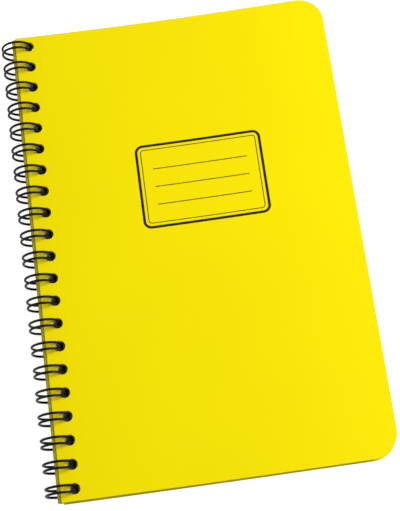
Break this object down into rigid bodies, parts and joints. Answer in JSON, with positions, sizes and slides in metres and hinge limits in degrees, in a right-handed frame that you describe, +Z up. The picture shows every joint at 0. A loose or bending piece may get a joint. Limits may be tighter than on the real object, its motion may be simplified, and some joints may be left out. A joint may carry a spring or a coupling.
{
  "type": "side spiral notebook",
  "caption": "Closed pocket-size notebook with yellow plastic covers, bound along its left side with a row of black twin wire loops.",
  "frame": {"origin": "middle of the whole notebook with its loops, in the plane of the table", "axes": "+X from the loops to the fore edge, +Y along the spine to the head, +Z up out of the front cover"},
  "size_m": [0.1234, 0.1778, 0.0118],
  "materials": {
    "yellow_plastic": "satin",
    "paper": "matte",
    "black_coating": "gloss"
  },
  "bodies": {
    "bound_back": {"back_cover": "yellow_plastic", "twin_loop_wire": "black_coating"},
    "leaves": {"page_block": "paper"},
    "front": {"front_cover": "yellow_plastic"}
  },
  "joints": [
    {"name": "leaves_turn", "type": "hinge", "parent": "bound_back", "child": "leaves", "pos_m": [-0.0558, 0, 0.0059], "axis": [0, -1, 0], "range_deg": [0, 180]},
    {"name": "front_cover_turn", "type": "hinge", "parent": "leaves", "child": "front", "pos_m": [-0.0558, 0, 0.0059], "axis": [0, -1, 0], "range_deg": [0, 180]}
  ]
}
